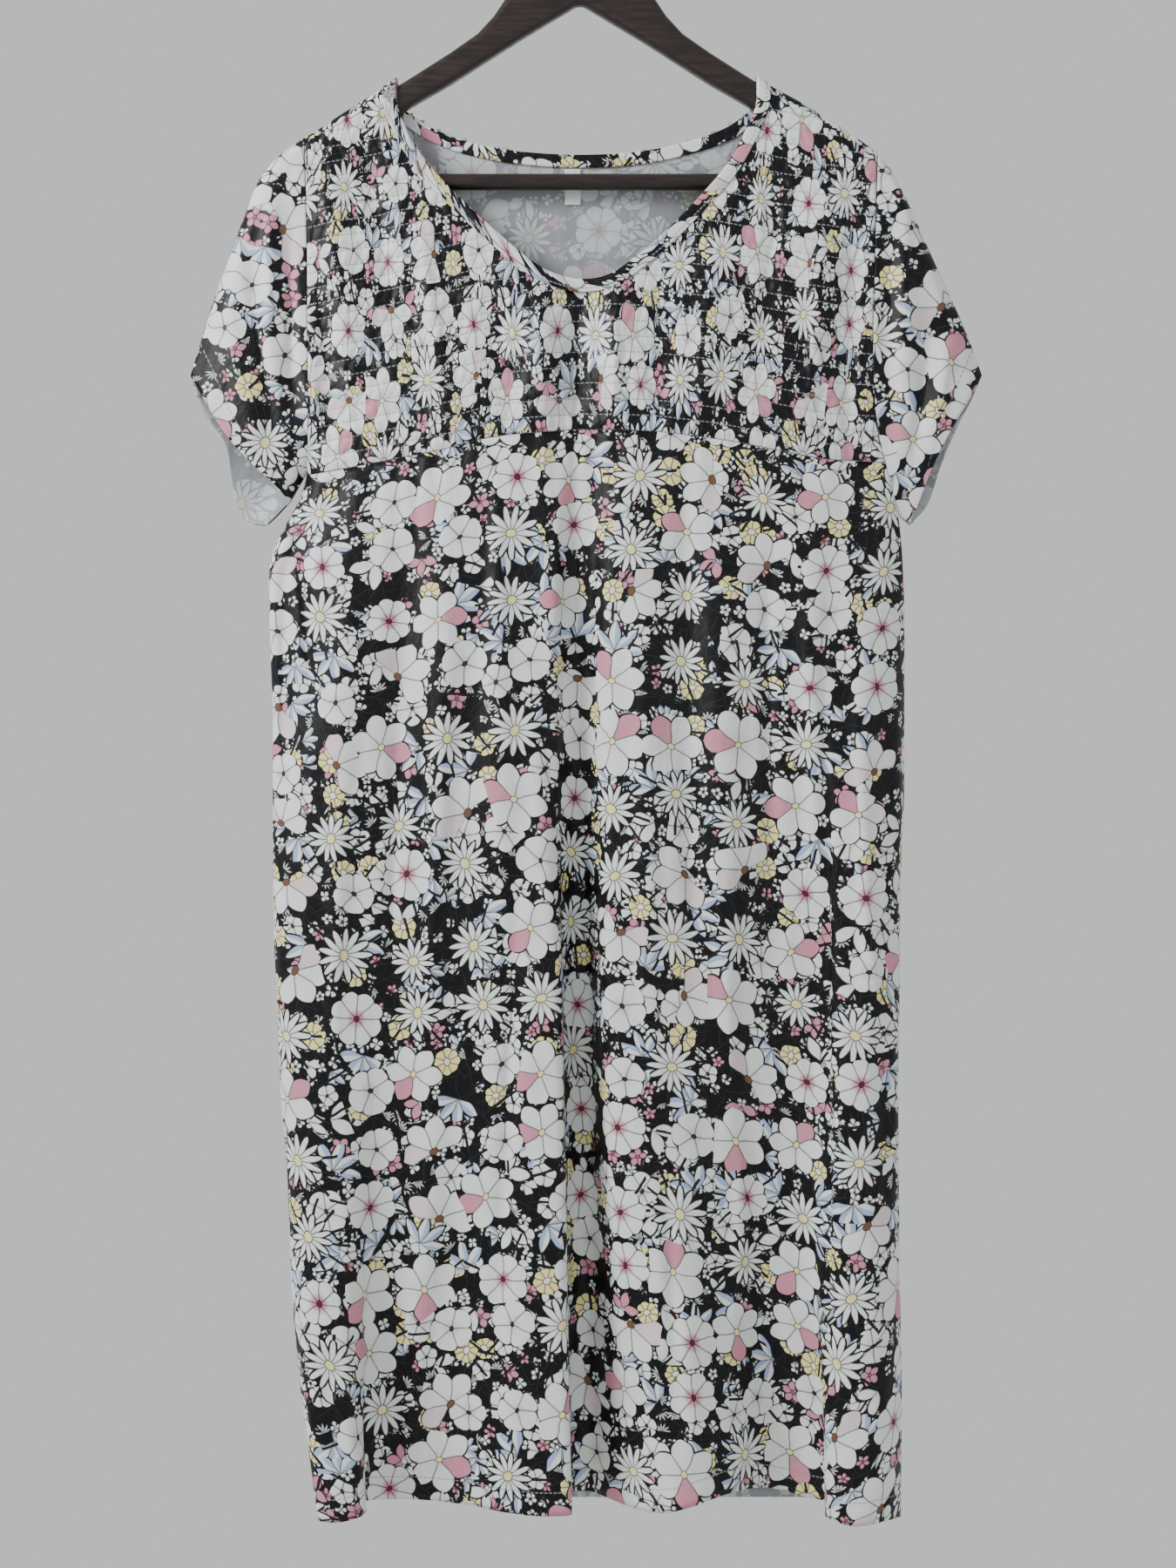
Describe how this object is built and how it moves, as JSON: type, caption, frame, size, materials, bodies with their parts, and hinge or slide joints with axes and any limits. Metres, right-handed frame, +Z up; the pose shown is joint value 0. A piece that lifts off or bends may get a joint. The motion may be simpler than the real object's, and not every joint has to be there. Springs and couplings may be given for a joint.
{
  "type": "casual dress on a hanger",
  "caption": "Short-sleeve V-neck floral dress with a shirred yoke and a centre front fold, hanging on a dark wooden hanger.",
  "frame": {"origin": "bearing point inside the top of the hanger's hook", "axes": "+Z up, -Y out of the wearer's front, +X to the viewer's right"},
  "size_m": [0.5991, 0.1122, 1.2378],
  "materials": {
    "jersey": "matte",
    "label_tape": "satin",
    "wood": "satin",
    "wire": "polished"
  },
  "bodies": {
    "root": {"front_yoke": "jersey", "front_skirt": "jersey", "back": "jersey", "sleeve_left": "jersey", "sleeve_right": "jersey", "neck_binding": "jersey", "size_label": "label_tape", "hanger_arms": "wood", "hanger_bar": "wood", "hanger_hook": "wire"}
  },
  "joints": []
}
